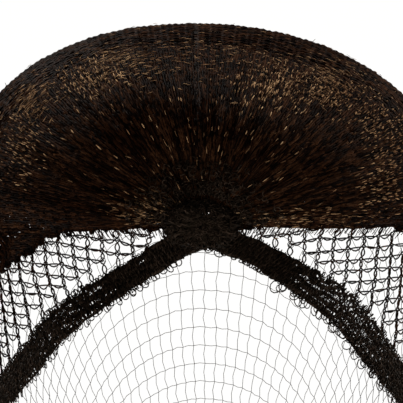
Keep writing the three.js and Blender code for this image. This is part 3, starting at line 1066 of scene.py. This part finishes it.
class HAIRNET_OT_back_net(bpy.types.Operator):
    """Lay the plainer knit of the back, dense over the crown and stretched open towards the nape"""

    bl_idname = "hairnet.back_net"
    bl_label = "Back net"

    def execute(self, context):
        settings = context.scene.hairnet_net
        column, row, cell = settings.back_column, settings.back_row, OPEN_BACK_CELL
        for name, sign in (("back_net_left", -1), ("back_net_right", 1)):
            rng = np.random.default_rng(30 + sign)
            weaver = Weaver()
            place, normal, kept, _ = back_knots(column, row, sign, BACK_AHEAD)
            kept = kept & (above_line(place) > 0)
            for way, bow in ((UPWARD, 0.2), (ACROSS, 0.24)):
                first, second = masked(place, normal, kept, *way)
                share = smooth_step(0, BACK_FADE, above_line(first[0]))[:, None]
                yarn = OPEN_BACK_START + (settings.back_yarn - OPEN_BACK_START) * share
                weave_links(weaver, first, second, yarn, bow, 0.2, 2, rng, flat=BACK_FLATNESS)
            place, normal, kept, on_rim = back_knots(cell * column, cell * row, sign)
            kept = kept & (above_line(place) < cell * row)
            single = (settings.open_back_yarn, OPEN_BACK_BOW, OPEN_BACK_LIFT, 2, rng)
            upward = kept.copy()
            upward[0] &= sign < 0
            weave_links(weaver, *masked(place, normal, upward, *UPWARD), *single, whiches=(1,))
            kept = kept & ~on_rim
            kept[:, 0] = False
            weave_links(weaver, *masked(place, normal, kept, *ACROSS), *single, whiches=(1,))
            weaver.piece(name, net_material(), ["net_crown"])
        return {"FINISHED"}


BAND_SAMPLES = 2880
FRONT_OF_BAND = math.radians(66)
PLAINER = 1.6
CURL_POINTS = 8
CORE_CORDS = 8
CORE_WIDTH = 1.2
CORE_WIDENING = 0.7
CORE_WIDE_TURNS = (20, 36)
CORE_STEP = 1.6
TIE_PITCH = 1.7


def band_run():
    """Turns all round and the distance along the band to each."""
    turn = np.linspace(-math.pi, math.pi, BAND_SAMPLES + 1)
    step = np.linalg.norm(np.diff(band_place(turn), axis=0), axis=-1)
    return turn, np.concatenate(((0,), np.cumsum(step)))


def band_point(turn, across, out):
    """A place on the band: across it as a share of its width, and out from its middle in millimetres."""
    centre, _, facing, up = band_frame(turn)
    reach = np.where(across > 0, band_top(turn), band_width(turn) / 2)
    return centre + up * (2 * across * reach)[:, None] + facing * out[:, None], facing


def curl_row(across, settings, rng):
    """One row of curly yarn right round the band."""
    turn, run = band_run()
    pitch = settings.curl_pitch * np.where(np.abs(turn) < FRONT_OF_BAND, 1, PLAINER)
    curls = np.concatenate(((0,), np.cumsum(np.diff(run) / pitch[1:])))
    whole = int(curls[-1])
    phase = np.arange(whole * CURL_POINTS) / CURL_POINTS
    at = np.interp(phase * curls[-1] / whole, curls, turn)
    swing = 2 * math.pi * (phase + rng.random())
    reach = settings.curl_radius * (1 + 0.22 * drift(len(at), CURL_POINTS, rng))
    place, facing = band_point(at, np.full(len(at), across), 0.35 + 0.85 * reach * np.cos(swing))
    _, along, _, up = band_frame(at)
    place = place + up * (reach * np.sin(swing) + 0.3 * drift(len(at), 2 * CURL_POINTS, rng))[:, None]
    place = place + along * (0.5 * drift(len(at), CURL_POINTS, rng))[:, None]
    return place, facing


def drift(count, step, rng):
    """Random values that change smoothly, with a new value every few steps, and end as they start."""
    values = rng.standard_normal(max(count // step, 2))
    place = np.arange(count) / count * len(values)
    return np.interp(place, np.arange(len(values) + 1), np.append(values, values[0]))


def core_cord(across, rng):
    """One wavy elastic cord inside the band."""
    turn, run = band_run()
    count = int(run[-1] / CORE_STEP)
    at = np.interp(np.arange(count) / count * run[-1], run, turn)
    near_peak = 1 - smooth_step(*CORE_WIDE_TURNS, np.degrees(np.abs(at)))
    wave = (0.1 - 0.06 * near_peak) * drift(count, 2, rng)
    place, facing = band_point(at, np.clip(across + wave, -0.46, 0.46), -0.25 + 0.2 * drift(count, 2, rng))
    return place, facing, CORE_WIDTH * (1 + 0.18 * drift(count, 4, rng)) + CORE_WIDENING * near_peak


def cross_tie(rng):
    """One yarn that runs to and fro across the band."""
    turn, run = band_run()
    count = int(run[-1] / TIE_PITCH) * 2
    at = np.interp((np.arange(count) + rng.random()) / count * run[-1], run, turn)
    across = np.where(np.arange(count) % 2 == 0, -0.47, 0.47)
    return band_point(at, across, np.full(count, -0.5))


class HAIRNET_OT_band(bpy.types.Operator):
    """Knit the elastic band: cords, ties and rows of curly yarn"""

    bl_idname = "hairnet.band"
    bl_label = "Elastic band"

    def execute(self, context):
        settings = context.scene.hairnet_band
        rng = np.random.default_rng(40)
        core = Weaver()
        for i in range(CORE_CORDS):
            across = (i + 0.5) / CORE_CORDS - 0.5
            place, facing, width = core_cord(across * 0.96, rng)
            core.add(strands(place[None], facing[None], width, 0.6, 4, closed=True))
        for _ in range(2):
            place, facing = cross_tie(rng)
            core.add(strands(place[None], facing[None], 0.6, 0.4, 3, closed=True))
        core.piece("band_cords", band_material(), ["elastic_band"])
        curls = Weaver()
        for i in range(settings.rows):
            across = (i + 0.5) / settings.rows - 0.5
            place, facing = curl_row(across, settings, rng)
            curls.add(strands(place[None], facing[None], settings.yarn, settings.yarn, 3, closed=True))
        curls.piece("band_curls", band_material(), ["elastic_band"])
        return {"FINISHED"}


# Picot loops: from one turn to the next in degrees, how far apart, how wide and how long they are
PICOT_RUNS = (
    (-180, -66, 3.4, 2.2, 2.2),
    (-66, -8, 2.2, 2.4, 1.9),
    (8, 19, 2.6, 2.0, 1.0),
    (19.5, 76, 5.0, 3.6, 3.2),
    (20, 76, 5.0, 2.8, 2.4),
    (20, 76, 4.2, 2.2, 1.8),
    (76, 180, 3.4, 2.4, 2.4),
)
# Two more by the peak: turn, width, length and lean
PEAK_PICOTS = np.array(((math.radians(4.4), 3.4, 2.0, 0.1), (math.radians(5.8), 2.0, 1.2, 0.0)))
PICOT_POINTS = 10
PICOT_CLOSE = 0.86


def picot_places(rng):
    """Where each loop hangs, how wide and how long it is, and how far it leans."""
    turn, run = band_run()
    rows = []
    for first, last, apart, wide, tall in PICOT_RUNS:
        start, end = np.interp(np.radians((first, last)), turn, run)
        count = int((end - start) / apart)
        place = start + (np.arange(count) + 0.5) * (end - start) / count
        place = place + rng.standard_normal(count) * apart * 0.28
        widths = wide * (0.75 + 0.5 * rng.random(count))
        lengths = tall * (0.6 + 0.7 * rng.random(count))
        leans = rng.standard_normal(count) * 0.3
        rows.append(np.stack((np.interp(place, run, turn), widths, lengths, leans), axis=-1))
    return np.concatenate((*rows, PEAK_PICOTS))


class HAIRNET_OT_picots(bpy.types.Operator):
    """Hang the single-thread loops from the band's lower edge"""

    bl_idname = "hairnet.picots"
    bl_label = "Picot loops"

    def execute(self, context):
        settings = context.scene.hairnet_band
        rng = np.random.default_rng(50)
        turn, wide, tall, lean = picot_places(rng).T
        edge, facing = band_point(turn, np.full(len(turn), -0.45), np.zeros(len(turn)))
        _, along, _, up = band_frame(turn)
        bend = np.linspace(-PICOT_CLOSE, PICOT_CLOSE, PICOT_POINTS) * math.pi
        leaning = (lean * tall)[:, None] * (1 + np.cos(bend)[None]) / 2
        across = wide[:, None] / 2 * np.sin(bend)[None] + leaning
        down = tall[:, None] * (0.62 + 0.62 * np.cos(bend)[None])
        out = 0.25 * np.sin(bend)[None] + 0.2 * rng.standard_normal((len(turn), 1))
        path = edge[:, None] + along[:, None] * across[..., None] - up[:, None] * down[..., None]
        path = path + facing[:, None] * out[..., None]
        normals = np.broadcast_to(facing[:, None], path.shape)
        weaver = Weaver()
        weaver.add(strands(path, normals, settings.picot_yarn, settings.picot_yarn, 4))
        weaver.piece("picot_loops", band_material(), ["elastic_band"])
        return {"FINISHED"}


GATHER_STRANDS = 96
GATHER_STEPS = 12
GATHER_CURLS = 520
OUTER_CURLS = 420
OUTER_CURL_ANGLE = 88.0
GATHER_CURL_POINTS = 9
# How thick the mound is at shares of the way out
MOUND_OUT = (0, 0.5, 0.8, 0.95, 1.0)
MOUND_THICK = (1, 0.92, 0.7, 0.35, 0.0)


def mound(out, angle):
    """A place on the gather's mound, by the share of the way out and the angle from the top."""
    x = GATHER_X + GATHER_HALF_WIDTH * out * np.sin(angle)
    z = GATHER_HEIGHT + GATHER_HALF_HEIGHT * out * np.cos(angle)
    depth = (GATHER_DEPTH - 1.5) * np.interp(out, MOUND_OUT, MOUND_THICK)
    y = -OPENING_FRONT - BAND_THICKNESS / 2 - CLEARANCE - depth
    return np.stack((x, np.broadcast_to(y, x.shape), z), axis=-1)


def radial_folds(rng):
    """Strands that run out from the middle of the mound in folds."""
    angle = (np.arange(GATHER_STRANDS) + 0.4 * rng.random(GATHER_STRANDS)) / GATHER_STRANDS * 2 * math.pi
    out = np.linspace(0.12, 1.0, GATHER_STEPS)
    place = mound(out[None, :], angle[:, None] + 0.05 * rng.standard_normal((GATHER_STRANDS, GATHER_STEPS)))
    fold = np.cos(angle * 11)[:, None] * 0.7 * out[None, :]
    place[..., 1] += fold + 0.2 * rng.standard_normal(fold.shape)
    normals = np.broadcast_to((0.0, -1.0, 0.0), place.shape)
    return strands(place, normals, 1.1, 0.8, 3)


def curl_centres(rng):
    """Places of the loose curls: over the mound, and thinning out over the knit above it."""
    out = np.sqrt(rng.random(GATHER_CURLS)) * 1.02
    angle = rng.random(GATHER_CURLS) * 2 * math.pi
    near = mound(np.minimum(out, 1.0), angle)
    spread = 1 + 1.1 * rng.random(OUTER_CURLS) ** 1.6
    above = (rng.random(OUTER_CURLS) - 0.5) * 2 * math.radians(OUTER_CURL_ANGLE)
    x = GATHER_X + GATHER_HALF_WIDTH * spread * np.sin(above)
    z = GATHER_HEIGHT + GATHER_HALF_HEIGHT * 1.3 * spread * np.cos(above)
    far, _ = face_from_front(x, z)
    return np.concatenate((near, far[far[:, 1] < -OPENING_FRONT / 2]))


def loose_curls(rng):
    """Random curls of yarn over the mound."""
    centre = curl_centres(rng)
    count = len(centre)
    swing = np.linspace(0, 1, GATHER_CURL_POINTS)[None] * (0.7 + 0.9 * rng.random(count))[:, None]
    swing = (swing + rng.random(count)[:, None]) * 2 * math.pi
    first = unit(rng.standard_normal((count, 3)) * (1, 0.5, 1))
    second = unit(np.cross(first, rng.standard_normal((count, 3))))
    reach = (0.6 + 0.9 * rng.random(count))[:, None, None]
    path = centre[:, None] + first[:, None] * reach * np.cos(swing)[..., None]
    path = path + second[:, None] * reach * np.sin(swing)[..., None]
    normals = unit(path - centre[:, None])
    return strands(path, normals, 0.42, 0.42, 3)


class HAIRNET_OT_gather(bpy.types.Operator):
    """Bunch the yarn of the front gather"""

    bl_idname = "hairnet.gather"
    bl_label = "Front gather"

    def execute(self, context):
        rng = np.random.default_rng(60)
        weaver = Weaver()
        weaver.add(radial_folds(rng))
        weaver.add(loose_curls(rng))
        weaver.piece("gather_bunch", band_material(), ["front_gather"])
        return {"FINISHED"}


class HAIRNET_OT_stage(bpy.types.Operator):
    """Set the floor, the soft lights and the camera"""

    bl_idname = "hairnet.stage"
    bl_label = "Floor, light and camera"

    def execute(self, context):
        settings = context.scene.hairnet_stage
        scene = context.scene
        make_floor(settings)
        make_world(settings)
        make_lights()
        make_camera(settings)
        scene.view_settings.view_transform = "Standard"
        return {"FINISHED"}


def make_floor(settings):
    """A wide pale floor well below what hangs in the air."""
    bpy.ops.mesh.primitive_plane_add(size=80.0, location=(0, 20.0, -settings.floor_drop))
    floor = bpy.context.object
    floor.name = "floor"
    floor.data.materials.append(plain_material("floor_paint", settings.floor, 0.9))


def make_world(settings):
    """Even white light from all round."""
    world = bpy.data.worlds.new("studio")
    bpy.context.scene.world = world
    world.use_nodes = True
    tree = world.node_tree
    background = tree.nodes["Background"]
    set_socket(background, "Color", (1, 1, 1, 1))
    sight = tree.nodes.new("ShaderNodeLightPath")
    strength = tree.nodes.new("ShaderNodeMix")
    set_socket(strength, "A", settings.world_strength)
    set_socket(strength, "B", 1.0)
    tree.links.new(sight.outputs["Is Camera Ray"], strength.inputs["Factor"])
    tree.links.new(strength.outputs["Result"], background.inputs["Strength"])


# Soft lights: name, degrees round from the front, degrees up, strength and softness in degrees
LIGHTS = (
    ("light_left", -132, 52, 2.1, 18),
    ("light_right", 108, 44, 2.1, 18),
)


def make_lights():
    """Soft far lamps above on both sides."""
    for name, around, above, strength, softness in LIGHTS:
        data = bpy.data.lights.new(name, "SUN")
        data.energy = strength
        data.angle = math.radians(softness)
        lamp = bpy.data.objects.new(name, data)
        lamp.rotation_euler = (math.radians(90 - above), 0, math.radians(around))
        bpy.context.scene.collection.objects.link(lamp)


CAMERA_PLACE = Vector((0.0045, -1.4915, 0.019))
CAMERA_AIM = Vector((0.0032, -0.0937, -0.0621))


def make_camera(settings):
    """The photograph's view, from far off and a little above."""
    data = bpy.data.cameras.new("camera")
    data.sensor_width = 36.0
    data.lens = settings.lens
    data.clip_end = 200.0
    camera = bpy.data.objects.new("camera", data)
    camera.location = CAMERA_PLACE
    camera.rotation_euler = (CAMERA_AIM - CAMERA_PLACE).to_track_quat("-Z", "Y").to_euler()
    bpy.context.scene.collection.objects.link(camera)
    bpy.context.scene.camera = camera


class HAIRNET_PT_panel(bpy.types.Panel):
    """Lists the steps that make the hairnet"""

    bl_idname = "HAIRNET_PT_panel"
    bl_label = "Hairnet"
    bl_space_type = "VIEW_3D"
    bl_region_type = "UI"
    bl_category = "Hairnet"

    def draw(self, context):
        for step in STEPS:
            self.layout.operator(step.bl_idname)


class HAIRNET_OT_sheets(bpy.types.Operator):
    """An empty step: it changes nothing."""

    bl_idname = "hairnet.sheets"
    bl_label = "Flat sizes"

    def execute(self, context):
        return {"FINISHED"}


STEPS = (
    HAIRNET_OT_front_net,
    HAIRNET_OT_window_net,
    HAIRNET_OT_back_net,
    HAIRNET_OT_band,
    HAIRNET_OT_picots,
    HAIRNET_OT_gather,
    HAIRNET_OT_sheets,
    HAIRNET_OT_stage,
)
SETTINGS = (
    ("hairnet_net", HairnetNetSettings),
    ("hairnet_band", HairnetBandSettings),
    ("hairnet_stage", HairnetStageSettings),
)


def register():
    """Register the settings, the steps and the panel."""
    for name, kind in SETTINGS:
        bpy.utils.register_class(kind)
        setattr(bpy.types.Scene, name, bpy.props.PointerProperty(type=kind))
    for kind in (*STEPS, HAIRNET_PT_panel):
        bpy.utils.register_class(kind)


def unregister():
    """Take them all out again."""
    for kind in (HAIRNET_PT_panel, *reversed(STEPS)):
        bpy.utils.unregister_class(kind)
    for name, kind in reversed(SETTINGS):
        delattr(bpy.types.Scene, name)
        bpy.utils.unregister_class(kind)


def main():
    """Make every piece."""
    register()
    for step in STEPS:
        group, name = step.bl_idname.split(".")
        getattr(getattr(bpy.ops, group), name)()


if __name__ == "__main__":
    main()
